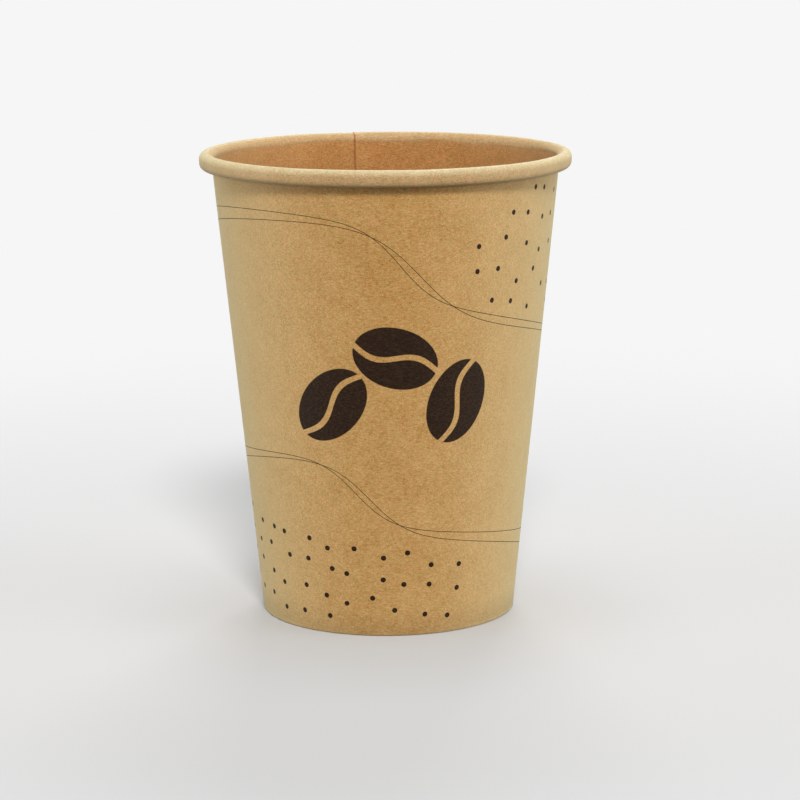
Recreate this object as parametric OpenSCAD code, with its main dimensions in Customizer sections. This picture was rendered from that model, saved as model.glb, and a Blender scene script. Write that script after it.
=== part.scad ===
// Single wall paper cup, 360 ml: a kraft board wall with a rolled rim, a lapped side seam and
// a foot folded in over the skirt of a board base. Millimetres, +Z up, standing on the table.

/* [Cup] */
// outer diameter of the rolled rim
rim_d = 90; // [84:0.5:96]
// height from the table to the top of the rim
cup_h = 113; // [95:1:135]
// outer diameter of the wall where it meets the table
foot_d = 61.8; // [56:0.2:68]

/* [Board] */
// thickness of the wall board
wall_t = 0.4; // [0.3:0.02:0.5]
// thickness of the base board
base_t = 0.34; // [0.26:0.02:0.44]
// glue line between two sealed layers of board
seal = 0.03; // [0.02:0.01:0.06]

/* [Rim] */
// width of the rim roll, measured along the radius
roll_w = 3.3; // [3:0.1:3.5]
// height of the rim roll
roll_h = 3.7; // [3.6:0.1:4.2]
// radius of the end of the roll, which tucks in under the rim
tuck_r = 0.9; // [0.8:0.05:1.2]
// turn of that end past the lowest point of the roll, in degrees
tuck_turn = 110; // [60:5:130]

/* [Base] */
// height of the underside of the base above the table
recess = 8; // [7.6:0.2:12]
// radius of the bend between the base and its skirt
base_bend = 0.8; // [0.6:0.05:1]
// height of the hem that is folded up inside the skirt
hem_h = 6.4; // [4:0.2:6.8]
// radius of the fold at the foot
fold_r = 0.42; // [0.3:0.02:0.46]

/* [Seam] */
// direction of the inner edge of the seam, seen from above, in degrees
seam_at = 101; // [0:1:359]
// width of the lap at half height
lap_w = 7.5; // [5:0.5:11]
// turn over which the outer layer climbs onto the inner one, in degrees
climb = 20; // [14:1:30]
// height at which the layers of the lap start above the table
lap_z = 0.9; // [0.6:0.1:2]
// length of the outer layer that hides inside the rim roll
lap_in = 0.3; // [0.1:0.1:0.5]

/* [Hidden] */
kraft = [0.71, 0.55, 0.35];
kraft_inside = [0.66, 0.48, 0.29];
// turn of one flat of a rounded corner, in degrees
arc_step = 15;
// overlap that joins two pieces of the same board
join = 0.03;

rim_r = rim_d / 2;
foot_r = foot_d / 2;
mid_r = (rim_r + foot_r) / 2;

// middle of the rim roll, top half and bottom half, and of its tucked end
roll_r = roll_w / 2;
roll_x = rim_r - roll_r;
roll_z = cup_h - roll_r;
low_z = cup_h - roll_h + roll_r;
tuck_z = low_z - roll_r + tuck_r;

// lean of the wall from the vertical: its outer face runs from the foot and touches the
// hollow of the roll
lean = acos((roll_r - wall_t) / norm([roll_x - foot_r, roll_z])) - atan2(roll_z, roll_x - foot_r);

// layers at the foot, as depths in from the outer face of the wall
skirt_out = wall_t + seal;
skirt_in = skirt_out + base_t;
hem_out = skirt_in + seal;
hem_in = hem_out + wall_t;

base_top = recess + base_t;
skirt_z = wall_t + seal;

// the climb turns about an axis set off by this much, so the board gains one thickness in it
set_off = ((mid_r + wall_t) ^ 2 - mid_r ^ 2) / (2 * (mid_r - (mid_r + wall_t) * cos(climb)));
lap_turn = lap_w / mid_r * 180 / PI;
join_turn = join / mid_r * 180 / PI * 4;

// point at a depth in from the outer face of the wall and at a height
function layer(depth, z) = [foot_r - depth / cos(lean) + z * tan(lean), z];

// points of a rounded corner, with its first point left out when skip is 1
function arc(c, r, from, to, skip = 0) =
    let (n = max(2, ceil(abs(to - from) / arc_step)))
    [for (i = [skip:n]) c + r * [cos(from + (to - from) * i / n), sin(from + (to - from) * i / n)]];

// one side of the roll, from the wall over the rim to the tucked end
function roll_side(in) = concat(
    arc([roll_x, roll_z], roll_r - in, 180 - lean, 0),
    arc([roll_x, low_z], roll_r - in, 0, -90),
    arc([roll_x, tuck_z], tuck_r - in, -90, -90 - tuck_turn, 1)
);

// the same points from the last to the first
function turned(list) = [for (i = [len(list) - 1:-1:0]) list[i]];

// section of the roll, open towards the wall
roll = concat(roll_side(wall_t), turned(roll_side(0)));

// section of the foot: slot for the skirt, hem, and the fold that stands on the table
fold_out = layer(fold_r, fold_r);
fold_in = layer(hem_in - fold_r, fold_r);
foot = concat(
    [layer(wall_t, wall_t), layer(hem_out, wall_t), layer(hem_out, hem_h), layer(hem_in, hem_h)],
    arc(fold_in, fold_r, 180 - lean, 270),
    arc(fold_out, fold_r, -90, -lean)
);

// board of the wall between two heights, from one depth to another
function band(from, to, low, high) =
    [layer(from, low), layer(from, high), layer(to, high), layer(to, low)];

// the whole blank in section
module sheet() {
    polygon(concat(roll, foot));
}

// the wall and rim without the foot
module upper() {
    polygon(concat(roll, [layer(wall_t, lap_z), layer(0, lap_z)]));
}

// the foot and the wall pressed against the skirt
module pressed() {
    polygon(concat([layer(0, recess), layer(wall_t, recess)], foot));
}

// the part of space on one side of the inner edge of the seam
module beyond_edge() {
    rotate([0, 0, seam_at - join_turn])
        translate([0, 0, -cup_h])
        cube([rim_d, rim_d, 3 * cup_h]);
}

// Wall blank: wound once round, climbing onto itself at the seam
module sidewall() {
    color(kraft)
    union() {
        rotate([0, 0, seam_at + climb])
            rotate_extrude(angle = 360 - climb, $fn = 180)
            sheet();
        rotate([0, 0, seam_at + climb])
            rotate_extrude(angle = -climb - join_turn, $fn = 180)
            pressed();
        intersection() {
            rotate([0, 0, seam_at + climb + join_turn])
                translate([-set_off, 0, 0])
                rotate_extrude(angle = -climb - 4, $fn = 180)
                translate([set_off + seal, 0])
                upper();
            beyond_edge();
        }
        rotate([0, 0, seam_at - lap_turn])
            rotate_extrude(angle = lap_turn + join_turn, $fn = 180)
            polygon(band(join, -wall_t - seal - join, lap_z, cup_h - roll_h + lap_in));
    }
}

// Base: a disc with its edge turned down into the foot
module base_disc() {
    bend = layer(skirt_out + base_bend, base_top - base_bend);
    color(kraft_inside)
    rotate_extrude($fn = 180)
        polygon(concat(
            [[0, base_top]],
            arc(bend, base_bend, 90, -lean),
            [layer(skirt_out, skirt_z), layer(skirt_in, skirt_z)],
            arc(bend, base_bend - base_t, -lean, 90),
            [[0, recess]]
        ));
}

sidewall();
base_disc();
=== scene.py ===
import math
import bmesh
import bpy
import numpy as np
from mathutils import Matrix, Vector


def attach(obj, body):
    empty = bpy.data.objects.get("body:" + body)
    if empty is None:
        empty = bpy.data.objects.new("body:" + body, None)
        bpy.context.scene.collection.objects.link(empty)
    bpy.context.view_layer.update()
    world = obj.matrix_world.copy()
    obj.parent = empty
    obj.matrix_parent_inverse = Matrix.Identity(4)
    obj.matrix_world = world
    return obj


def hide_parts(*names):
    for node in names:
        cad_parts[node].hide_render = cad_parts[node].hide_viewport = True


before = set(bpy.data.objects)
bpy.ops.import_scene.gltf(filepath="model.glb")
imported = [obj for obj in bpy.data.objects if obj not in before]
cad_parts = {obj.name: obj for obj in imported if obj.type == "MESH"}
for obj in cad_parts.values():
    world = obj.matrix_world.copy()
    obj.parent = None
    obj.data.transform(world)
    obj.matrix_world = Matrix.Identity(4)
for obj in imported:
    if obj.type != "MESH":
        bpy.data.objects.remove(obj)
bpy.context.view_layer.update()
print("frame loaded with", sorted(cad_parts))

mm = 0.001
sharpFrom = 42  # degrees between two faces from which their edge stays sharp
samePoint = 1e-6  # millimetres within which two points count as one

# sizes of the cup in millimetres and degrees, the same as the solids have, apart from the outer face
# of the roll: it hangs lower by rollDrop, and the two powers flatten it a little
cupForm = {
    "rimRadius": 45.0, "height": 113.0, "footRadius": 30.9,
    "board": 0.4, "baseBoard": 0.34, "glue": 0.03,
    "rollWidth": 3.3, "rollHeight": 3.7, "rollDrop": 0.3, "rollTopPower": 2.3, "rollLowPower": 2.4,
    "tuckRadius": 0.9, "tuckTurn": 110.0,
    "foldRadius": 0.42, "hemHeight": 6.4, "recess": 8.0, "baseBend": 0.8,
}
rollRadius = cupForm["rollWidth"] / 2
rollTop = np.array([cupForm["rimRadius"] - rollRadius, cupForm["height"] - rollRadius])
rollEnd = cupForm["height"] - cupForm["rollHeight"] - cupForm["rollDrop"]
rollLow = np.array([rollTop[0], rollEnd + rollRadius])
tuckMiddle = rollLow - [0, rollRadius - cupForm["tuckRadius"]]
footRadius, board, glue = cupForm["footRadius"], cupForm["board"], cupForm["glue"]
middleRadius = (cupForm["rimRadius"] + footRadius) / 2
# lean of the wall: its outer face runs from the foot and touches the hollow of the roll
lean = (math.acos((rollRadius - board) / math.hypot(rollTop[0] - footRadius, rollTop[1]))
        - math.atan2(rollTop[1], rollTop[0] - footRadius))
leanDegrees = math.degrees(lean)


def layerPoint(depth, height):
    # point at a depth in from the outer face of the wall, at a height
    return np.array([footRadius - depth / math.cos(lean) + height * math.tan(lean), height])


def ray(degrees):
    # unit direction in the section, counted from outwards towards up
    return np.array([math.cos(math.radians(degrees)), math.sin(math.radians(degrees))])


def arcRun(middle, radius, start, stop, count, facing):
    # points of a circle between two angles, each with the direction away from the middle times facing
    angle = np.radians(np.linspace(start, stop, count))
    away = np.stack([np.cos(angle), np.sin(angle)], 1)
    return np.asarray(middle) + radius * away, facing * away


def squareRun(middle, radius, start, stop, count, facing, power):
    # the same run on a flattened circle, |x| ** power + |z| ** power = radius ** power
    angle = np.radians(np.linspace(start, stop, count))
    away = np.stack([np.cos(angle), np.sin(angle)], 1)
    normal = np.sign(away) * np.abs(away) ** (2 - 2 / power)
    normal /= np.linalg.norm(normal, axis=1, keepdims=True)
    return np.asarray(middle) + radius * np.sign(away) * np.abs(away) ** (2 / power), facing * normal


def lineRun(first, last, share, normal):
    # points of a straight stretch at the given shares of its length, all with one direction
    return first + (last - first) * share[:, None], np.repeat(np.asarray(normal)[None], len(share), 0)


def joinRuns(runs):
    # one path from several, with points that two runs share kept once, and the length walked so far
    points = np.concatenate([run[0] for run in runs])
    normals = np.concatenate([run[1] for run in runs])
    step = np.linalg.norm(np.diff(points, axis=0), axis=1)
    kept = np.r_[True, step > samePoint]
    points, normals = points[kept], normals[kept]
    walked = np.r_[0, np.cumsum(np.linalg.norm(np.diff(points, axis=0), axis=1))]
    return points, normals, walked


def smoothStep(low, high, value):
    # 0 below low, 1 above high, and 3 s ** 2 - 2 s ** 3 between them
    share = np.clip((value - low) / (high - low), 0, 1)
    return share * share * (3 - 2 * share)


def gridFaces(rows, columns, first, turned):
    # quads between neighbouring points of a grid whose numbers start at first
    row, column = np.meshgrid(np.arange(rows - 1), np.arange(columns - 1), indexing="ij")
    corner = first + row * columns + column
    quads = np.stack([corner, corner + 1, corner + columns + 1, corner + columns], -1).reshape(-1, 4)
    return quads[:, ::-1] if turned else quads


def placeMesh(name, points, faces, finishes, finishOfFace):
    # a mesh object from points in millimetres, smooth apart from its cut edges
    mesh = bpy.data.meshes.new(name)
    mesh.from_pydata((points * mm).tolist(), [], faces)
    for finish in finishes:
        mesh.materials.append(finish)
    mesh.polygons.foreach_set("material_index", np.asarray(finishOfFace, dtype=np.int32))
    work = bmesh.new()
    work.from_mesh(mesh)
    bmesh.ops.recalc_face_normals(work, faces=work.faces)
    work.to_mesh(mesh)
    work.free()
    mesh.polygons.foreach_set("use_smooth", np.ones(len(mesh.polygons), dtype=bool))
    mesh.set_sharp_from_angle(angle=math.radians(sharpFrom))
    mesh.update()
    piece = bpy.data.objects.new(name, mesh)
    bpy.context.scene.collection.objects.link(piece)
    return piece


# shader helpers: a socket or a plain number may stand at each input

def feed(tree, socket, value):
    if isinstance(value, bpy.types.NodeSocket):
        tree.links.new(value, socket)
    elif value is not None:
        socket.default_value = value


def mathNode(tree, operation, first, second=None, third=None):
    node = tree.nodes.new("ShaderNodeMath")
    node.operation = operation
    for socket, value in zip(node.inputs, (first, second, third)):
        feed(tree, socket, value)
    return node.outputs[0]


def rangeNode(tree, value, fromLow, fromHigh, toLow=0.0, toHigh=1.0, smooth=True):
    node = tree.nodes.new("ShaderNodeMapRange")
    node.interpolation_type = "SMOOTHSTEP" if smooth else "LINEAR"
    for socket, item in zip(node.inputs, (value, fromLow, fromHigh, toLow, toHigh)):
        feed(tree, socket, item)
    return node.outputs[0]


def mixColour(tree, share, first, second, blend="MIX"):
    node = tree.nodes.new("ShaderNodeMix")
    node.data_type = "RGBA"
    node.blend_type = blend
    node.clamp_factor = True
    # a colour mix has its factor at input 0, its two colours at 6 and 7, and its result at output 2
    for socket, value in zip((node.inputs[0], node.inputs[6], node.inputs[7]), (share, first, second)):
        feed(tree, socket, value)
    return node.outputs[2]


def noiseNode(tree, vector, scale, detail, roughness):
    node = tree.nodes.new("ShaderNodeTexNoise")
    node.inputs["Scale"].default_value = scale
    node.inputs["Detail"].default_value = detail
    node.inputs["Roughness"].default_value = roughness
    feed(tree, node.inputs["Vector"], vector)
    return node.outputs[0]


def mappingNode(tree, vector, turn=(0, 0, 0), scale=(1, 1, 1), shift=(0, 0, 0)):
    node = tree.nodes.new("ShaderNodeMapping")
    node.inputs["Location"].default_value = shift
    node.inputs["Rotation"].default_value = turn
    node.inputs["Scale"].default_value = scale
    feed(tree, node.inputs["Vector"], vector)
    return node.outputs[0]


def newGroup(name, inputs, outputs):
    # a node group with named sockets; returns it with the sockets that it is given and those that it fills
    group = bpy.data.node_groups.new(name, "ShaderNodeTree")
    for label, kind, value in inputs:
        socket = group.interface.new_socket(label, in_out="INPUT", socket_type="NodeSocket" + kind)
        if value is not None:
            socket.default_value = value
    for label, kind in outputs:
        group.interface.new_socket(label, in_out="OUTPUT", socket_type="NodeSocket" + kind)
    source = group.nodes.new("NodeGroupInput")
    sink = group.nodes.new("NodeGroupOutput")
    return group, source.outputs, sink.inputs


def useGroup(tree, group, **values):
    node = tree.nodes.new("ShaderNodeGroup")
    node.node_tree = group
    for label, value in values.items():
        feed(tree, node.inputs[label], value)
    return node.outputs


def fromScreen(red, green, blue):
    # colour as a screen shows it, 0 to 255, to the linear values of the shader
    value = np.array([red, green, blue]) / 255
    linear = np.where(value <= 0.04045, value / 12.92, ((value + 0.055) / 1.055) ** 2.4)
    return (*[float(item) for item in linear], 1.0)


def aroundCupGroup():
    # place on the cup: angle from the front, height and distance from the axis in millimetres
    group, given, out = newGroup(
        "aroundCup", [("Place", "Vector", None)],
        [("Angle", "Float"), ("Height", "Float"), ("Radius", "Float")])
    split = group.nodes.new("ShaderNodeSeparateXYZ")
    group.links.new(given["Place"], split.inputs[0])
    x, y, z = split.outputs
    angle = mathNode(group, "ARCTAN2", x, mathNode(group, "MULTIPLY", y, -1.0))
    square = mathNode(group, "ADD", mathNode(group, "MULTIPLY", x, x), mathNode(group, "MULTIPLY", y, y))
    for label, socket in (("Angle", angle), ("Height", z), ("Radius", mathNode(group, "SQRT", square))):
        group.links.new(socket, out[label])
    return group


# pulp of the board: noises as (scale per millimetre, detail, roughness), and the shares of the tone
pulpLook = {
    "cloud": (0.11, 3.0, 0.5), "patch": (0.45, 3.0, 0.55), "grain": (1.5, 3.0, 0.6), "fine": (3.6, 3.0, 0.7),
    "shares": {"cloud": 0.3, "patch": 0.3, "grain": 0.6, "fine": 1.5, "fibre": 0.55},
    "lays": ((0.5, 0.3, 0.7), (-0.6, 0.9, 2.2), (1.1, -0.5, 1.4)), "layApart": 40,
    "layScale": (0.9, 3.4, 3.4), "layNoise": (1.0, 2.0, 0.6), "spread": (0.3, 0.7),
    "drift": (0.6, 4.0, 0.65), "driftShift": (17, 5, 29),
    "rosy": (1.035, 0.975, 0.985, 1), "straw": (0.965, 1.025, 0.985, 1),
    "fleckTurn": (0.2, 0.5, 0.4), "fleckScale": (1.3, 2.6, 2.6), "fleckNoise": (1.0, 2.0, 0.5),
    "fleckReach": (0.69, 0.76), "roughnessSpread": 0.2, "reliefShare": 0.5,
}


def kraftFibreGroup():
    # kraft board: slow clouds, two sizes of grain and three lays of short fibres, with a few dark flecks
    group, given, out = newGroup(
        "kraftFibre",
        [("Place", "Vector", None), ("Light", "Color", (0.6, 0.4, 0.2, 1)),
         ("Dark", "Color", (0.3, 0.2, 0.1, 1)), ("Fleck", "Color", (0.1, 0.05, 0.02, 1)),
         ("Fleckiness", "Float", 0.5), ("Roughness", "Float", 0.6)],
        [("Color", "Color"), ("Roughness", "Float"), ("Height", "Float")])
    place = given["Place"]
    layers = {name: noiseNode(group, place, *pulpLook[name]) for name in ("cloud", "patch", "grain", "fine")}
    fibre = 0.0
    for turn in pulpLook["lays"]:
        apart = [pulpLook["layApart"] * part for part in turn]
        lay = mappingNode(group, place, turn=turn, scale=pulpLook["layScale"], shift=apart)
        lay = rangeNode(group, noiseNode(group, lay, *pulpLook["layNoise"]), *pulpLook["spread"])
        fibre = mathNode(group, "MULTIPLY_ADD", lay, 1 / len(pulpLook["lays"]), fibre)
    layers["fibre"] = fibre
    # each layer is taken around its middle, so that together they average one half
    tone = 0.5
    for name, share in pulpLook["shares"].items():
        tone = mathNode(group, "MULTIPLY_ADD", mathNode(group, "SUBTRACT", layers[name], 0.5), share, tone)
    tone = mathNode(group, "MAXIMUM", mathNode(group, "MINIMUM", tone, 1.0), 0.0)
    colour = mixColour(group, tone, given["Dark"], given["Light"])
    # the pulp drifts between a rosy and a straw tint over a few millimetres
    drift = noiseNode(group, mappingNode(group, place, shift=pulpLook["driftShift"]), *pulpLook["drift"])
    drift = rangeNode(group, drift, *pulpLook["spread"])
    tint = mixColour(group, drift, pulpLook["rosy"], pulpLook["straw"])
    colour = mixColour(group, 1.0, colour, tint, "MULTIPLY")
    speck = mappingNode(group, place, turn=pulpLook["fleckTurn"], scale=pulpLook["fleckScale"])
    speck = rangeNode(group, noiseNode(group, speck, *pulpLook["fleckNoise"]), *pulpLook["fleckReach"])
    speck = mathNode(group, "MULTIPLY", speck, given["Fleckiness"])
    colour = mixColour(group, speck, colour, given["Fleck"])
    feel = mathNode(group, "SUBTRACT", layers["grain"], 0.5)
    feel = mathNode(group, "MULTIPLY_ADD", feel, pulpLook["roughnessSpread"], given["Roughness"])
    relief = mathNode(group, "MULTIPLY", layers["fine"], pulpLook["reliefShare"])
    relief = mathNode(group, "MULTIPLY_ADD", layers["fibre"], 1 - pulpLook["reliefShare"], relief)
    for label, socket in (("Color", colour), ("Roughness", feel), ("Height", relief)):
        group.links.new(socket, out[label])
    return group


# print on the wall, in millimetres: wave lines as (middle, rise, bend, turn in degrees, droop, slope),
# beans as (degrees, height, tilt); a field of dots has its radius, its angles in degrees, its heights,
# and the wave and side that it keeps clear of; an edge is half the width over which ink fades out
printLook = {
    "lineWidth": 0.15, "lineEdge": 0.03,
    "waves": [(90.75, 8.64, 4.77, 4.3, 5.93, 6.49), (88.42, 10.58, 3.55, 10.7, 6.08, 4.53),
              (35.52, 8.61, 4.10, -12.6, 5.59, 0.80), (34.27, 9.60, 3.69, -7.3, 7.70, 0.57)],
    "beans": [(-21.0, 57.0, 0.8), (3.0, 68.5, -0.3), (26.5, 57.5, 1.2)],
    "beanLong": 10.3, "beanWide": 7.2, "beanEdge": 0.012,
    "gapSwing": 3.3, "gapBow": 0.2, "gap": (0.085, 0.105),
    "dotRadius": 0.64, "dotEdge": 0.02, "dotClear": 3.0, "dotTurn": 0.15, "dotLoose": 0.5,
    "dots": [{"radius": 41.0, "spacing": 7.4, "left": -45, "leftTilt": 0.8, "right": 160,
              "low": 74, "high": 107.5, "highTilt": 0.0, "wave": 0, "side": 1},
             {"radius": 32.5, "spacing": 6.2, "left": -165, "leftTilt": 0.0, "right": 34,
              "low": 3.0, "high": 23.5, "highTilt": -6.0, "wave": 3, "side": -1}],
}
waveInputs = [("Middle", "Float", 60), ("Rise", "Float", 10), ("Bend", "Float", 3), ("Turn", "Float", 0),
              ("Droop", "Float", 0), ("Slope", "Float", 0)]


def waveHeightGroup():
    # height = Middle - Rise * tanh(Bend * sin(swing)) - Droop * (1 - cos(swing)) - Slope * sin(swing),
    # where swing = angle - Turn; Fall is how fast it sinks per radian
    group, given, out = newGroup("waveHeight", [("Angle", "Float", 0)] + waveInputs,
                                 [("Height", "Float"), ("Fall", "Float")])
    swing = mathNode(group, "SUBTRACT", given["Angle"], given["Turn"])
    sine, cosine = mathNode(group, "SINE", swing), mathNode(group, "COSINE", swing)
    curve = mathNode(group, "TANH", mathNode(group, "MULTIPLY", sine, given["Bend"]))
    sunk = mathNode(group, "MULTIPLY", given["Rise"], curve)
    sunk = mathNode(group, "MULTIPLY_ADD", given["Droop"], mathNode(group, "SUBTRACT", 1.0, cosine), sunk)
    sunk = mathNode(group, "MULTIPLY_ADD", given["Slope"], sine, sunk)
    steep = mathNode(group, "SUBTRACT", 1.0, mathNode(group, "MULTIPLY", curve, curve))
    steep = mathNode(group, "MULTIPLY", steep, mathNode(group, "MULTIPLY", given["Rise"], given["Bend"]))
    fall = mathNode(group, "MULTIPLY", mathNode(group, "ADD", steep, given["Slope"]), cosine)
    fall = mathNode(group, "MULTIPLY_ADD", given["Droop"], sine, fall)
    group.links.new(mathNode(group, "SUBTRACT", given["Middle"], sunk), out["Height"])
    group.links.new(fall, out["Fall"])
    return group


def insideOf(tree, value, limit, edge):
    # 1 where the value is under its limit, 0 above it, and soft over the edge on both sides
    return rangeNode(tree, value, mathNode(tree, "ADD", limit, edge), mathNode(tree, "SUBTRACT", limit, edge))


def waveLineGroup():
    # fine line along a wave, its width kept on the slope
    group, given, out = newGroup(
        "waveLine",
        [("Angle", "Float", 0), ("Height", "Float", 0), ("Radius", "Float", 38), ("Width", "Float", 0.2)]
        + waveInputs, [("Mask", "Float")])
    shape = {label: given[label] for label, _, _ in waveInputs}
    wave = useGroup(group, waveHeight, Angle=given["Angle"], **shape)
    steep = mathNode(group, "DIVIDE", wave["Fall"], given["Radius"])
    longer = mathNode(group, "SQRT", mathNode(group, "MULTIPLY_ADD", steep, steep, 1.0))
    away = mathNode(group, "ABSOLUTE", mathNode(group, "SUBTRACT", given["Height"], wave["Height"]))
    away = mathNode(group, "DIVIDE", away, longer)
    half = mathNode(group, "MULTIPLY", given["Width"], 0.5)
    group.links.new(insideOf(group, away, half, printLook["lineEdge"]), out["Mask"])
    return group


def dotFieldGroup():
    # round dots of one size on a loosened grid; a dot is kept or dropped by where its middle lies: between
    # two angles, above Low, below High, and clear of a wave on the side that Side gives, 1 above or -1 below
    group, given, out = newGroup(
        "dotField",
        [("Angle", "Float", 0), ("Height", "Float", 0), ("Radius", "Float", 38), ("Spacing", "Float", 6),
         ("Dot", "Float", 0.6), ("Left", "Float", -1), ("LeftTilt", "Float", 0), ("Right", "Float", 1),
         ("Low", "Float", 0), ("High", "Float", 30), ("HighTilt", "Float", 0), ("Side", "Float", 1),
         ("Clear", "Float", 3)] + waveInputs,
        [("Mask", "Float")])
    flat = group.nodes.new("ShaderNodeCombineXYZ")
    across = mathNode(group, "MULTIPLY", given["Angle"], given["Radius"])
    feed(group, flat.inputs[0], mathNode(group, "DIVIDE", across, given["Spacing"]))
    feed(group, flat.inputs[1], mathNode(group, "DIVIDE", given["Height"], given["Spacing"]))
    turned = mappingNode(group, flat.outputs[0], turn=(0, 0, printLook["dotTurn"]))
    cells = group.nodes.new("ShaderNodeTexVoronoi")
    cells.voronoi_dimensions = "2D"
    cells.inputs["Scale"].default_value = 1.0
    cells.inputs["Randomness"].default_value = printLook["dotLoose"]
    group.links.new(turned, cells.inputs["Vector"])
    back = mappingNode(group, cells.outputs["Position"], turn=(0, 0, -printLook["dotTurn"]))
    middle = group.nodes.new("ShaderNodeSeparateXYZ")
    group.links.new(back, middle.inputs[0])
    angle = mathNode(group, "MULTIPLY", middle.outputs[0], given["Spacing"])
    angle = mathNode(group, "DIVIDE", angle, given["Radius"])
    height = mathNode(group, "MULTIPLY", middle.outputs[1], given["Spacing"])
    away = mathNode(group, "MULTIPLY", cells.outputs["Distance"], given["Spacing"])
    mask = insideOf(group, away, given["Dot"], printLook["dotEdge"])
    left = mathNode(group, "MULTIPLY_ADD", height, given["LeftTilt"], given["Left"])
    high = mathNode(group, "MULTIPLY_ADD", angle, given["HighTilt"], given["High"])
    shape = {label: given[label] for label, _, _ in waveInputs}
    wave = useGroup(group, waveHeight, Angle=angle, **shape)
    beyond = mathNode(group, "MULTIPLY", mathNode(group, "SUBTRACT", height, wave["Height"]), given["Side"])
    for first, second in ((angle, left), (given["Right"], angle), (height, given["Low"]), (high, height),
                          (beyond, given["Clear"])):
        mask = mathNode(group, "MULTIPLY", mask, mathNode(group, "GREATER_THAN", first, second))
    group.links.new(mask, out["Mask"])
    return group


def coffeeBeanGroup():
    # bean: an ellipse turned by Tilt and split by one S-shaped gap along its length,
    # aside = gapBow * sin(gapSwing * along), with both counted in half lengths and half widths
    group, given, out = newGroup(
        "coffeeBean",
        [("Angle", "Float", 0), ("Height", "Float", 0), ("Radius", "Float", 38), ("AtAngle", "Float", 0),
         ("AtHeight", "Float", 60), ("Tilt", "Float", 0), ("Long", "Float", 9), ("Wide", "Float", 6)],
        [("Mask", "Float")])
    across = mathNode(group, "SUBTRACT", given["Angle"], given["AtAngle"])
    across = mathNode(group, "MULTIPLY", across, given["Radius"])
    upward = mathNode(group, "SUBTRACT", given["Height"], given["AtHeight"])
    cosine, sine = mathNode(group, "COSINE", given["Tilt"]), mathNode(group, "SINE", given["Tilt"])
    along = mathNode(group, "MULTIPLY_ADD", upward, sine, mathNode(group, "MULTIPLY", across, cosine))
    along = mathNode(group, "DIVIDE", along, given["Long"])
    aside = mathNode(group, "MULTIPLY", across, sine)
    aside = mathNode(group, "SUBTRACT", mathNode(group, "MULTIPLY", upward, cosine), aside)
    aside = mathNode(group, "DIVIDE", aside, given["Wide"])
    reach = mathNode(group, "MULTIPLY_ADD", along, along, mathNode(group, "MULTIPLY", aside, aside))
    body = insideOf(group, mathNode(group, "SQRT", reach), 1.0, printLook["beanEdge"])
    bow = mathNode(group, "SINE", mathNode(group, "MULTIPLY", along, printLook["gapSwing"]))
    bow = mathNode(group, "MULTIPLY", bow, printLook["gapBow"])
    beside = mathNode(group, "ABSOLUTE", mathNode(group, "SUBTRACT", aside, bow))
    gap = rangeNode(group, beside, *printLook["gap"])
    group.links.new(mathNode(group, "MULTIPLY", body, gap), out["Mask"])
    return group


aroundCup = aroundCupGroup()
kraftFibre = kraftFibreGroup()
waveHeight = waveHeightGroup()
waveLine = waveLineGroup()
dotField = dotFieldGroup()
coffeeBean = coffeeBeanGroup()

# the wound blank: seam places in degrees, its lap, climb and line of glue and painted shade in millimetres
# and degrees; the fibre range says over which fibre heights that line thins, and from how much to how much
seamForm = {
    "edge": 101.0, "lapWidth": 7.5, "climb": 20.0, "innerStart": 3.0, "pressed": 0.1, "innerPressed": 0.09,
    # the seam line is glue with painted shade in the step of the lap
    "seamLineShift": 0.1, "seamLineWidth": 0.32, "seamLineCore": 0.3, "seamLineFibre": (0.2, 0.7, 1.0, 0.6),
    "outerShift": -0.2, "outerGlueAndShade": 0.8,
}
lapTurn = math.degrees(seamForm["lapWidth"] / middleRadius)

# looks of the board, colours as a screen shows them; inkFibre is for the ink what the seam line's fibre range
# is for that line
kraftLook = {
    # the fold's two tones are the wall's, darkened as painted shade that goes on from the painted foot shade
    "light": (209, 168, 112), "dark": (147, 95, 0), "foldShadedLight": (190, 152, 101), "foldShadedDark": (133, 86, 0),
    "insideLight": (196, 146, 93), "insideDark": (138, 87, 22),
    "rimLight": (211, 193, 159), "rimDark": (156, 135, 86),
    # the seam line's colour is glue with painted shade in the step of the lap
    "fleck": (100, 66, 33), "fleckiness": 0.5, "seamGlueAndShade": (140, 78, 38),
    "cut": (222, 190, 140), "plyScale": (9, 9, 2.5), "plyNoise": (1.0, 3.0, 0.6), "plyShare": (0.25, 0.7),
    "inkColour": (24, 7, 3), "inkFibre": (0.25, 0.85, 1.0, 0.94), "inkGloss": 0.05,
    "roughness": 0.6, "insideRoughness": 0.55, "cutRoughness": 0.8,
    "relief": 0.00004, "bump": 0.5, "insideBump": 0.4, "cutBump": 0.8,
    "sheen": 0.06, "sheenRoughness": 0.5, "sheenTint": (240, 255, 225),
    # these shares and this colour are a painted sheen, mixed into the colour where the board is seen slanting
    "paintedSheen": 0.43, "insidePaintedSheen": 0.12, "rimPaintedSheen": 0.24, "paintedSheenColour": (255, 248, 194),
    "footShade": 0.8, "footShadeHeight": 8.0, "specular": 0.1,
    "gloss": 0.15, "glossRoughness": 0.5, "insideGloss": 0.06, "insideGlossRoughness": 0.45,
}


def withPaintedSheen(tree, colour, paintedSheen):
    # painted sheen: the colour is mixed paler the more slanting the board is seen, in place of light glancing
    # off it
    slant = tree.nodes.new("ShaderNodeLayerWeight").outputs["Facing"]
    share = mathNode(tree, "MULTIPLY", slant, paintedSheen)
    return mixColour(tree, share, colour, fromScreen(*kraftLook["paintedSheenColour"]))


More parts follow.
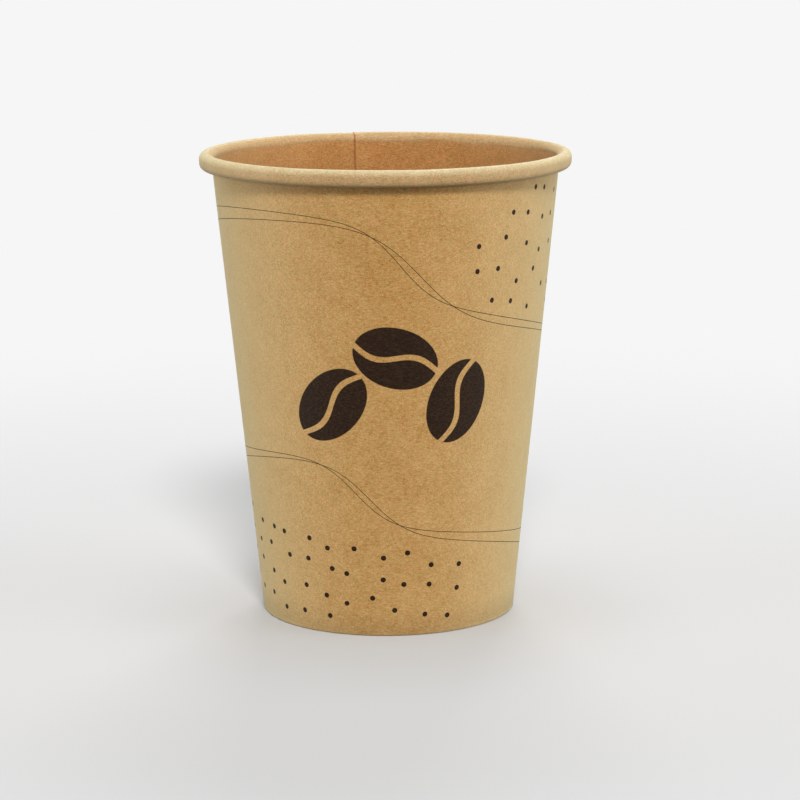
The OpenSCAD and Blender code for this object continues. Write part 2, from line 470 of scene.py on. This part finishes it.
def boardMaterial(name, light, dark, roughness, bumpStrength):
    # kraft board with its fibre, as grown through the sheet in all directions; its colour is linked later
    material = bpy.data.materials.new(name)
    material.use_nodes = True
    tree = material.node_tree
    shader = tree.nodes["Principled BSDF"]
    where = tree.nodes.new("ShaderNodeTexCoord").outputs["Object"]
    place = mappingNode(tree, where, scale=(1 / mm, 1 / mm, 1 / mm))
    fibre = useGroup(tree, kraftFibre, Place=place, Fleck=fromScreen(*kraftLook["fleck"]),
                     Light=fromScreen(*kraftLook[light]), Dark=fromScreen(*kraftLook[dark]),
                     Fleckiness=kraftLook["fleckiness"], Roughness=roughness)
    tree.links.new(fibre["Roughness"], shader.inputs["Roughness"])
    bump = tree.nodes.new("ShaderNodeBump")
    bump.inputs["Strength"].default_value = bumpStrength
    bump.inputs["Distance"].default_value = kraftLook["relief"]
    tree.links.new(fibre["Height"], bump.inputs["Height"])
    tree.links.new(bump.outputs[0], shader.inputs["Normal"])
    shader.inputs["Specular IOR Level"].default_value = kraftLook["specular"]
    shader.inputs["Sheen Weight"].default_value = kraftLook["sheen"]
    shader.inputs["Sheen Roughness"].default_value = kraftLook["sheenRoughness"]
    shader.inputs["Sheen Tint"].default_value = fromScreen(*kraftLook["sheenTint"])
    shader.inputs["Coat Weight"].default_value = kraftLook["gloss"]
    shader.inputs["Coat Roughness"].default_value = kraftLook["glossRoughness"]
    return material, tree, shader, place, fibre


def plainMaterial(name, light, dark, roughness, bumpStrength):
    # board without print, with the painted sheen mixed into its colour
    material, tree, shader, _, fibre = boardMaterial(name, light, dark, roughness, bumpStrength)
    tree.links.new(withPaintedSheen(tree, fibre["Color"], kraftLook["paintedSheen"]), shader.inputs["Base Color"])
    return material


def seamLine(tree, around, fibre, degrees, shift):
    # mask of the thin line of glue and painted shade along an edge of the lap, shift millimetres beside it
    edge = math.atan2(math.cos(math.radians(degrees)), -math.sin(math.radians(degrees)))
    aside = mathNode(tree, "SUBTRACT", around["Angle"], edge)
    aside = mathNode(tree, "MULTIPLY_ADD", aside, around["Radius"], shift)
    aside = mathNode(tree, "ABSOLUTE", aside)
    line = rangeNode(tree, aside, seamForm["seamLineWidth"], seamForm["seamLineCore"] * seamForm["seamLineWidth"])
    return mathNode(tree, "MULTIPLY", line, rangeNode(tree, fibre["Height"], *seamForm["seamLineFibre"]))


def printedMaterial():
    # outside of the wall: board with the ink of lines, beans and dots
    material, tree, shader, place, fibre = boardMaterial(
        "printedKraft", "light", "dark", kraftLook["roughness"], kraftLook["bump"])
    around = useGroup(tree, aroundCup, Place=place)
    here = {"Angle": around["Angle"], "Height": around["Height"]}
    masks = []
    waves = []
    for middle, rise, bend, turn, droop, slope in printLook["waves"]:
        wave = {"Middle": middle, "Rise": rise, "Bend": bend, "Turn": math.radians(turn),
                "Droop": droop, "Slope": slope}
        waves.append(wave)
        masks.append(useGroup(tree, waveLine, Radius=around["Radius"], Width=printLook["lineWidth"],
                              **here, **wave))
    for degrees, atHeight, tilt in printLook["beans"]:
        masks.append(useGroup(tree, coffeeBean, Radius=around["Radius"], AtAngle=math.radians(degrees),
                              AtHeight=atHeight, Tilt=tilt, Long=printLook["beanLong"],
                              Wide=printLook["beanWide"], **here))
    for field in printLook["dots"]:
        masks.append(useGroup(tree, dotField, Radius=field["radius"], Spacing=field["spacing"],
                              Dot=printLook["dotRadius"], Left=math.radians(field["left"]),
                              LeftTilt=math.radians(field["leftTilt"]), Right=math.radians(field["right"]),
                              Low=field["low"], High=field["high"], HighTilt=field["highTilt"],
                              Side=field["side"], Clear=printLook["dotClear"],
                              **here, **waves[field["wave"]]))
    ink = masks[0]["Mask"]
    for mask in masks[1:]:
        ink = mathNode(tree, "MAXIMUM", ink, mask["Mask"])
    # painted shade: towards the table the wall is coloured a shade darker
    paintedFootShade = rangeNode(tree, around["Height"], 0.0, kraftLook["footShadeHeight"], kraftLook["footShade"], 1.0)
    tone = mixColour(tree, 1.0, withPaintedSheen(tree, fibre["Color"], kraftLook["paintedSheen"]), paintedFootShade, "MULTIPLY")
    # glue and a painted contact shade also show outside, along the edge of the outer layer
    glueAndShadeLine = seamLine(tree, around, fibre, seamForm["edge"] - lapTurn, seamForm["outerShift"])
    glueAndShadeLine = mathNode(tree, "MULTIPLY", glueAndShadeLine, seamForm["outerGlueAndShade"])
    tone = mixColour(tree, glueAndShadeLine, tone, fromScreen(*kraftLook["seamGlueAndShade"]))
    # the ink lies a little thinner where a fibre stands up, and it is matt
    cover = mathNode(tree, "MULTIPLY", ink, rangeNode(tree, fibre["Height"], *kraftLook["inkFibre"]))
    colour = mixColour(tree, cover, tone, fromScreen(*kraftLook["inkColour"]))
    tree.links.new(colour, shader.inputs["Base Color"])
    coat = rangeNode(tree, ink, 0.0, 1.0, kraftLook["gloss"], kraftLook["inkGloss"])
    tree.links.new(coat, shader.inputs["Coat Weight"])
    return material


def coatedMaterial():
    # inside of the cup, paler where the rim stretches it and with a painted highlight on top of the roll,
    # with the brown line of glue and painted shade along the seam
    material, tree, shader, place, fibre = boardMaterial(
        "coatedKraft", "insideLight", "insideDark", kraftLook["insideRoughness"], kraftLook["insideBump"])
    shader.inputs["Coat Weight"].default_value = kraftLook["insideGloss"]
    shader.inputs["Coat Roughness"].default_value = kraftLook["insideGlossRoughness"]
    around = useGroup(tree, aroundCup, Place=place)
    # the rim's tones: a paler stretched coating, palest on top as a painted highlight
    paleRimAndHighlight = tree.nodes.new("ShaderNodeAttribute")
    paleRimAndHighlight.attribute_name = "rimPaleAndHighlight"
    group = fibre["Color"].node
    for label, plain, rim in (("Light", "insideLight", "rimLight"), ("Dark", "insideDark", "rimDark")):
        tone = mixColour(tree, paleRimAndHighlight.outputs["Fac"],
                         fromScreen(*kraftLook[plain]), fromScreen(*kraftLook[rim]))
        tree.links.new(tone, group.inputs[label])
    # the painted sheen is weak on the coated inside and grows down the roll's outer face
    outerFace = tree.nodes.new("ShaderNodeAttribute")
    outerFace.attribute_name = "outerShare"
    paintedSheen = rangeNode(tree, outerFace.outputs["Fac"], 0.0, 1.0, kraftLook["insidePaintedSheen"], kraftLook["rimPaintedSheen"])
    # glue with painted shade along the inner edge of the lap
    glueAndShadeLine = seamLine(tree, around, fibre, seamForm["edge"], seamForm["seamLineShift"])
    colour = mixColour(tree, glueAndShadeLine, withPaintedSheen(tree, fibre["Color"], paintedSheen), fromScreen(*kraftLook["seamGlueAndShade"]))
    tree.links.new(colour, shader.inputs["Base Color"])
    return material


def edgeMaterial():
    # cut edge of the board: paler, with its plies as thin streaks along the cut
    material, tree, shader, place, fibre = boardMaterial(
        "cutEdge", "light", "dark", kraftLook["cutRoughness"], kraftLook["cutBump"])
    streak = noiseNode(tree, mappingNode(tree, place, scale=kraftLook["plyScale"]), *kraftLook["plyNoise"])
    streak = rangeNode(tree, streak, *pulpLook["spread"], *kraftLook["plyShare"])
    pale = mixColour(tree, streak, fibre["Color"], fromScreen(*kraftLook["cut"]))
    tree.links.new(pale, shader.inputs["Base Color"])
    return material


printedKraft = printedMaterial()
# plain board on the hem and fold, in tones darkened as painted shade
plainKraft = plainMaterial("plainKraft", "foldShadedLight", "foldShadedDark", kraftLook["roughness"], kraftLook["bump"])
coatedKraft = coatedMaterial()
baseKraft = plainMaterial("baseKraft", "insideLight", "insideDark", kraftLook["insideRoughness"],
                          kraftLook["insideBump"])
cutEdge = edgeMaterial()
print("materials made:", len(bpy.data.materials))

# grid of the wall: points along each stretch of the board's path, and round the cup; lapGap is in degrees
# between the inner layer's end and the next point, topStep in millimetres past the top of the roll
wallGrid = {
    "hem": 7, "fold": 7, "wallLow": 12, "wallMiddle": 21, "wallHigh": 15,
    "lowShare": 0.06, "highShare": 0.955,
    "rollInner": 14, "rollOuter": 14, "rollLower": 16, "tuck": 11,
    "lap": 14, "round": 350, "climb": 26, "lapGap": 0.04, "topStep": 0.01,
}
# where a form of the wall starts or ends, as heights in millimetres
wallFade = {"lapLow": 6.0, "lift": (0.4, 3.0), "liftEnd": (103.0, 109.5),
            "roll": (102.0, 111.0), "lip": 106.0}
# unevenness of the rim, in millimetres: waves as (count, size, start) and, for its lip, (count, start),
# dents and drops of the lip as (degrees, width in degrees, depth)
rimUneven = {
    "sag": 0.06, "lean": 0.1, "waves": [(3, 0.22, 0.7), (5, 0.17, 2.1), (8, 0.11, 4.0)],
    "dents": [(-78.0, 6.0, 0.10), (-118.0, 5.0, 0.08), (28.0, 6.0, 0.08)], "dentSag": 0.5,
    "lip": 0.11, "lipAt": 110.9, "lipSoft": 0.2, "lipWander": 0.14, "lipWaves": [(3, 1.0), (7, 0.3)],
    "lipDrops": [(58.0, 5.0, 0.5), (72.0, 5.0, -0.3), (38.0, 8.0, 0.2), (128.0, 7.0, 0.2)],
}
# how pale the rim is, from a paler stretched coating and, palest on top of the roll, a painted highlight:
# from the lip's crease, up to the top of the roll and down its outer face, as distances in millimetres and
# shares, with the stretch of the outer face over which the painted sheen grows
rimTone = {"crease": (-0.8, 0.6), "inner": 0.45, "top": 0.8, "outer": (0.7, 2.8), "outerLoss": 0.6,
           "paintedSheen": (0.4, 2.4)}
# ribs pressed into the hem, and the stretch of the hem that they leave free
hemRibs = {"count": 60, "depth": 0.07, "start": (0.3, 1.2), "end": (5.2, 6.0), "offFold": 1.2}


def boardPath():
    # middle of the board from the hem's top edge over the foot fold, up the wall and round the rim roll;
    # each normal points to the side of the board that is outside on the wall
    # the middle of the hem lies behind the wall, the skirt and a line of glue on both sides of the skirt
    hemDepth = 1.5 * board + 2 * glue + cupForm["baseBoard"]
    fold = cupForm["foldRadius"]
    foldMid, rollMid, tuckMid = (edge - board / 2 for edge in (fold, rollRadius, cupForm["tuckRadius"]))
    outMiddle, inMiddle = layerPoint(fold, fold), layerPoint(hemDepth + board / 2 - fold, fold)
    inward, outward = ray(180 - leanDegrees), ray(-leanDegrees)
    wallShare = np.r_[np.linspace(0, wallGrid["lowShare"], wallGrid["wallLow"]),
                      np.linspace(wallGrid["lowShare"], wallGrid["highShare"], wallGrid["wallMiddle"])[1:],
                      np.linspace(wallGrid["highShare"], 1, wallGrid["wallHigh"])[1:]]
    hemTop = layerPoint(hemDepth, cupForm["hemHeight"])
    return joinRuns([
        lineRun(hemTop, inMiddle + foldMid * inward, np.linspace(0, 1, wallGrid["hem"]), inward),
        arcRun(inMiddle, foldMid, 180 - leanDegrees, 270, wallGrid["fold"], 1),
        arcRun(outMiddle, foldMid, -90, -leanDegrees, wallGrid["fold"], 1),
        lineRun(outMiddle + foldMid * outward, rollTop + rollMid * inward, wallShare, outward),
        arcRun(rollTop, rollMid, 180 - leanDegrees, 90, wallGrid["rollInner"], -1),
        squareRun(rollTop, rollMid, 90, 0, wallGrid["rollOuter"], -1, cupForm["rollTopPower"]),
        squareRun(rollLow, rollMid, 0, -90, wallGrid["rollLower"], -1, cupForm["rollLowPower"]),
        arcRun(tuckMiddle, tuckMid, -90, -90 - cupForm["tuckTurn"], wallGrid["tuck"], -1),
    ])


def hollows(angle, marks):
    # sum of soft bumps round the rim, depth * exp(-((angle - at) / width) ** 2)
    apart = [(np.degrees(angle) - at + 180) % 360 - 180 for at, _, _ in marks]
    return sum(depth * np.exp(-(away / width) ** 2) for away, (_, width, depth) in zip(apart, marks))


def makeSideWall():
    # point(along, turn) = path(along) + normal * lift(turn), wound once round plus the lap
    points, normals, walked = boardPath()
    climbStart = 360 - seamForm["climb"]
    turn = np.concatenate([
        np.linspace(0, lapTurn, wallGrid["lap"]),
        np.linspace(lapTurn + wallGrid["lapGap"], climbStart, wallGrid["round"]),
        np.linspace(climbStart, 360, wallGrid["climb"])[1:],
        np.linspace(360, 360 + lapTurn, wallGrid["lap"])[1:],
    ])
    # points of the path on the outer face of the cone, and a place just past the top of the roll
    onWall = (normals[:, 0] > 0.5) & (points[:, 1] > cupForm["foldRadius"])
    wallStart = walked[onWall][0]
    rollTopAt = walked[np.argmax(points[:, 1])] + wallGrid["topStep"]
    along = np.repeat(walked[:, None], len(turn), 1)

    def wallFrom(height):
        # length walked along the path up to a height of the wall
        return wallStart + height / math.cos(lean)

    def fade(heights):
        # 0 up to the first height of the wall, 1 from the second on
        return smoothStep(wallFrom(heights[0]), wallFrom(heights[1]), along)

    # under the lap the inner layer is cut off above the fold
    low = walked < wallFrom(wallFade["lapLow"])
    inner = turn < lapTurn + wallGrid["lapGap"] / 2
    spread = np.linspace(wallFrom(seamForm["innerStart"]), walked[~low][0], low.sum(), endpoint=False)
    along[np.ix_(low, inner)] = spread[:, None]
    radius, height = np.interp(along, walked, points[:, 0]), np.interp(along, walked, points[:, 1])
    normalOut, normalUp = np.interp(along, walked, normals[:, 0]), np.interp(along, walked, normals[:, 1])
    length = np.hypot(normalOut, normalUp)
    normalOut, normalUp = normalOut / length, normalUp / length
    angle = np.radians(seamForm["edge"] - turn)[None, :]
    climbed = smoothStep(climbStart, 360, turn)[None, :]
    inRoll = fade(wallFade["liftEnd"])
    lift = (board + glue) * climbed * fade(wallFade["lift"]) * (1 - inRoll)
    # ribs pressed into the hem, which face the axis
    onHem = smoothStep(*hemRibs["start"], along) * (1 - smoothStep(*hemRibs["end"], along))
    onHem = onHem * (along < wallStart - hemRibs["offFold"])
    lift = lift + onHem * hemRibs["depth"] * 0.5 * (np.cos(hemRibs["count"] * angle) - 1)
    # the roll sinks and leans in a little, never out of the true size
    onRoll = fade(wallFade["roll"])
    wave = 0.5 + sum(size * np.sin(count * angle + start) for count, size, start in rimUneven["waves"])
    dent = hollows(angle, rimUneven["dents"])
    # lip: the roll bulges in over the wall from a crease that wanders up and down
    wander = sum(np.sin(count * angle + start) for count, start in rimUneven["lipWaves"])
    crease = rimUneven["lipAt"] + rimUneven["lipWander"] * wander - hollows(angle, rimUneven["lipDrops"])
    aboveLip = along > wallFrom(wallFade["lip"])
    lipLow, lipHigh = crease - rimUneven["lipSoft"], crease + rimUneven["lipSoft"]
    lip = aboveLip * (along < rollTopAt) * smoothStep(lipLow, lipHigh, height)
    lip = lip * (1 - smoothStep(lipHigh, cupForm["height"] - board / 2, height))
    radius = radius - onRoll * (rimUneven["lean"] * wave + dent) - rimUneven["lip"] * lip
    height = height - onRoll * (rimUneven["sag"] * (1 - wave) + rimUneven["dentSag"] * dent)
    # in the roll the two layers of the lap are pressed into one thickness
    outFace = board / 2 - inner[None, :] * inRoll * (board - seamForm["innerPressed"])
    inFace = -board / 2 + climbed * inRoll * seamForm["pressed"]
    grids = []
    for face in (outFace, inFace):
        r = radius + normalOut * (lift + face)
        z = height + normalUp * (lift + face)
        grids.append(np.stack([r * np.cos(angle), r * np.sin(angle), z], -1).reshape(-1, 3))
    # palest on top of the roll, a painted highlight over the paler stretched coating, less on its inner and
    # outer faces
    paintedTopHighlight = smoothStep(rollTopAt - rimTone["top"], rollTopAt, along)
    innerPale = smoothStep(crease + rimTone["crease"][0], crease + rimTone["crease"][1], height)
    innerPale = innerPale * aboveLip * (rimTone["inner"] + (1 - rimTone["inner"]) * paintedTopHighlight)
    pastTop = along - rollTopAt
    outerPale = 1 - rimTone["outerLoss"] * smoothStep(*rimTone["outer"], pastTop)
    shares = {"rimPaleAndHighlight": np.where(pastTop < 0, innerPale, outerPale),
              "outerShare": smoothStep(*rimTone["paintedSheen"], pastTop)}
    rows, columns = along.shape
    half = rows * columns
    outside, inside = gridFaces(rows, columns, 0, True), gridFaces(rows, columns, half, False)
    number = np.arange(half).reshape(rows, columns)
    ring = np.concatenate([number[0, :], number[1:, -1], number[-1, -2::-1], number[-2:0:-1, 0]])
    following = np.roll(ring, -1)
    edge = np.stack([ring, following, following + half, ring + half], 1)
    rowOfFace = np.repeat(np.arange(rows - 1), columns - 1)
    onPrint = onWall[:-1] & onWall[1:]
    finishes = [printedKraft, plainKraft, coatedKraft, cutEdge]
    finish = np.concatenate([np.where(onPrint[rowOfFace], 0, 1), np.full(len(inside), 2),
                             np.full(len(edge), 3)])
    faces = np.concatenate([outside, inside, edge])
    piece = placeMesh("sideWall", np.concatenate(grids), faces.tolist(), finishes, finish)
    for label, share in shares.items():
        attribute = piece.data.attributes.new(label, "FLOAT", "POINT")
        attribute.data.foreach_set("value", np.tile(share.ravel(), 2).astype(np.float32))
    return piece


# the base: points of each stretch of its section and round it, and its crown in millimetres
baseForm = {"flat": 10, "bend": 9, "skirt": 6, "innerBend": 7, "round": 192,
            "crown": 0.1, "crownReach": (8.0, 29.0), "flatRadius": 29.9, "flatDepth": 0.6}


def makeBaseDisc():
    # closed section turned round the axis: top face, bend, skirt, its lower edge, and the underside
    thick, bend, columns = cupForm["baseBoard"], cupForm["baseBend"], baseForm["round"]
    top = cupForm["recess"] + thick
    skirtOut = skirtLow = board + glue
    middle = layerPoint(skirtOut + bend, top - bend)
    up, outward = ray(90), ray(-leanDegrees)
    flatShare, skirtShare = np.linspace(0, 1, baseForm["flat"]), np.linspace(0, 1, baseForm["skirt"])
    innerBend = bend - thick
    section, _, _ = joinRuns([
        lineRun(np.array([0.0, top]), middle + bend * up, flatShare, up),
        arcRun(middle, bend, 90, -leanDegrees, baseForm["bend"], 1),
        lineRun(middle + bend * outward, layerPoint(skirtOut, skirtLow), skirtShare, outward),
        lineRun(layerPoint(skirtOut + thick, skirtLow), middle + innerBend * outward, skirtShare, -outward),
        arcRun(middle, innerBend, -leanDegrees, 90, baseForm["innerBend"], -1),
        lineRun(middle + innerBend * up, np.array([0.0, top - thick]), flatShare, -up),
    ])
    angle = np.linspace(0, 2 * math.pi, columns, endpoint=False)[None, :]
    ringR, ringZ = section[1:-1, :1], section[1:-1, 1:]
    # the flat of the disc crowns up by a tenth of a millimetre from the pressing
    onFlat = (ringZ > cupForm["recess"] - baseForm["flatDepth"]) * (ringR < baseForm["flatRadius"])
    ringZ = ringZ - baseForm["crown"] * smoothStep(*baseForm["crownReach"], ringR) * onFlat
    rings = np.stack([ringR * np.cos(angle), ringR * np.sin(angle), np.repeat(ringZ, columns, 1)], -1)
    rows = rings.shape[0]
    points = np.concatenate([rings.reshape(-1, 3), [[0, 0, section[0, 1]]], [[0, 0, section[-1, 1]]]])
    number = np.arange(rows * columns).reshape(rows, columns)
    nextColumn = np.roll(number, -1, 1)
    quads = np.stack([number[:-1], nextColumn[:-1], nextColumn[1:], number[1:]], -1).reshape(-1, 4)
    topFan = np.stack([number[0], nextColumn[0], np.full(columns, rows * columns)], -1)
    lowFan = np.stack([number[-1], nextColumn[-1], np.full(columns, rows * columns + 1)], -1)
    faces = quads.tolist() + topFan.tolist() + lowFan.tolist()
    return placeMesh("baseDisc", points, faces, [baseKraft], np.zeros(len(faces)))


sideWall = makeSideWall()
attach(sideWall, "root")
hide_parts("sidewall")
baseDisc = makeBaseDisc()
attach(baseDisc, "root")
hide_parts("base_disc")
print("cup made:", len(sideWall.data.polygons), "faces on the wall,",
      len(baseDisc.data.polygons), "on the base")

# plain pale floor: it throws less light back on the cup than it shows, and away from the cup it is even
floorLook = {"size": 40.0, "seen": (198, 198, 198), "throws": (45, 45, 45), "far": (246, 246, 246),
             "fadeFrom": 0.12, "fadeTo": 0.42, "roughness": 0.9}


def makeFloor():
    half = floorLook["size"] / 2
    corners = [(-half, -half, 0), (half, -half, 0), (half, half, 0), (-half, half, 0)]
    mesh = bpy.data.meshes.new("floor")
    mesh.from_pydata(corners, [], [(0, 1, 2, 3)])
    material = bpy.data.materials.new("paleFloor")
    material.use_nodes = True
    tree = material.node_tree
    shader = tree.nodes["Principled BSDF"]
    path = tree.nodes.new("ShaderNodeLightPath").outputs
    seen = mathNode(tree, "MAXIMUM", path["Is Glossy Ray"], path["Is Transmission Ray"])
    seen = mathNode(tree, "MAXIMUM", path["Is Camera Ray"], seen)
    colour = mixColour(tree, seen, fromScreen(*floorLook["throws"]), fromScreen(*floorLook["seen"]))
    tree.links.new(colour, shader.inputs["Base Color"])
    shader.inputs["Roughness"].default_value = floorLook["roughness"]
    shader.inputs["Specular IOR Level"].default_value = 0.0
    glow = tree.nodes.new("ShaderNodeEmission")
    glow.inputs["Color"].default_value = fromScreen(*floorLook["far"])
    reach = tree.nodes.new("ShaderNodeVectorMath")
    reach.operation = "LENGTH"
    tree.links.new(tree.nodes.new("ShaderNodeTexCoord").outputs["Object"], reach.inputs[0])
    away = rangeNode(tree, reach.outputs["Value"], floorLook["fadeFrom"], floorLook["fadeTo"])
    both = tree.nodes.new("ShaderNodeMixShader")
    feed(tree, both.inputs[0], mathNode(tree, "MULTIPLY", seen, away))
    tree.links.new(shader.outputs[0], both.inputs[1])
    tree.links.new(glow.outputs[0], both.inputs[2])
    tree.links.new(both.outputs[0], tree.nodes["Material Output"].inputs["Surface"])
    mesh.materials.append(material)
    floor = bpy.data.objects.new("floor", mesh)
    bpy.context.scene.collection.objects.link(floor)


makeFloor()

# softboxes, all white, as (degrees from the front, degrees up, distance, width, height, level):
# at a level of 1 a surface that faces the box shows its colour as written
boxSet = {
    "left": (-76, 3, 1.2, 0.6, 0.16, 0.31),
    "right": (76, 8, 1.2, 0.6, 0.3, 0.36),
    "back": (174, 42, 1.3, 0.5, 0.4, 0.36),
    "top": (180, 86, 1.2, 0.6, 0.6, 0.27),
}
boxAim = Vector((0, 0, 0.06))
# the key, from the front and above, is wide and even; it draws the shade under the rim
keySet = {"around": 5, "up": 39, "width": 14, "level": 0.76}
# the room is lighter near the horizon than overhead; low and high are sines of the height where it changes
roomSet = {"horizon": 0.86, "overhead": 0.25, "low": 0.15, "high": 0.8, "seen": 0.92}


def makeLights():
    for name, (around, up, distance, width, height, level) in boxSet.items():
        around, up = math.radians(around), math.radians(up)
        towards = Vector((math.sin(around) * math.cos(up), -math.cos(around) * math.cos(up), math.sin(up)))
        box = bpy.data.lights.new(name, "AREA")
        box.shape = "RECTANGLE"
        box.size, box.size_y = width, height
        box.energy = level * (math.pi * distance) ** 2
        holder = bpy.data.objects.new(name, box)
        holder.location = boxAim + towards * distance
        holder.rotation_euler = (-towards).to_track_quat("-Z", "Y").to_euler()
        bpy.context.scene.collection.objects.link(holder)
    key = bpy.data.lights.new("key", "SUN")
    key.angle = math.radians(keySet["width"])
    key.energy = math.pi * keySet["level"]
    holder = bpy.data.objects.new("key", key)
    holder.rotation_euler = (math.radians(90 - keySet["up"]), 0, math.radians(keySet["around"]))
    bpy.context.scene.collection.objects.link(holder)
    world = bpy.data.worlds.new("studio")
    world.use_nodes = True
    room = world.node_tree
    background = room.nodes["Background"]
    background.inputs["Color"].default_value = (1, 1, 1, 1)
    seen = room.nodes.new("ShaderNodeLightPath").outputs["Is Camera Ray"]
    split = room.nodes.new("ShaderNodeSeparateXYZ")
    room.links.new(room.nodes.new("ShaderNodeTexCoord").outputs["Generated"], split.inputs[0])
    level = rangeNode(room, split.outputs[2], roomSet["low"], roomSet["high"],
                      roomSet["horizon"], roomSet["overhead"])
    strength = rangeNode(room, seen, 0.0, 1.0, level, roomSet["seen"], smooth=False)
    room.links.new(strength, background.inputs["Strength"])
    bpy.context.scene.world = world


makeLights()
print("floor and", len(boxSet), "softboxes placed")

# camera: distance from a point on the axis, and where that point falls in a square picture, in pixels
cameraSet = {"aim": (0, 0, 0.055), "distance": 0.710, "elevation": 10.81, "roll": -0.41,
             "picture": 800, "focal": 2893.0, "fallsAt": (387.28, 385.4), "sensor": 36, "clip": (0.01, 60)}


def makeCamera():
    up = math.radians(cameraSet["elevation"])
    back, right = Vector((0, -math.cos(up), math.sin(up))), Vector((1, 0, 0))
    over = back.cross(right)
    focal, picture = cameraSet["focal"], cameraSet["picture"]
    yaw, pitch = (math.atan((place - picture / 2) / focal) for place in cameraSet["fallsAt"])
    roll = math.radians(cameraSet["roll"])
    stand = Vector(cameraSet["aim"]) + back * cameraSet["distance"]
    side = right * math.cos(yaw) - back * math.sin(yaw)
    rear = right * math.sin(yaw) + back * math.cos(yaw)
    top = over * math.cos(pitch) + rear * math.sin(pitch)
    rear = rear * math.cos(pitch) - over * math.sin(pitch)
    side, top = side * math.cos(roll) + top * math.sin(roll), top * math.cos(roll) - side * math.sin(roll)
    lens = bpy.data.cameras.new("camera")
    lens.sensor_width = cameraSet["sensor"]
    lens.sensor_fit = "HORIZONTAL"
    lens.lens = focal / picture * cameraSet["sensor"]
    lens.clip_start, lens.clip_end = cameraSet["clip"]
    holder = bpy.data.objects.new("camera", lens)
    bpy.context.scene.collection.objects.link(holder)
    turned = Matrix((side, top, rear)).transposed().to_4x4()
    holder.matrix_world = Matrix.Translation(stand) @ turned
    bpy.context.scene.camera = holder


makeCamera()
bpy.context.scene.view_settings.view_transform = "Standard"
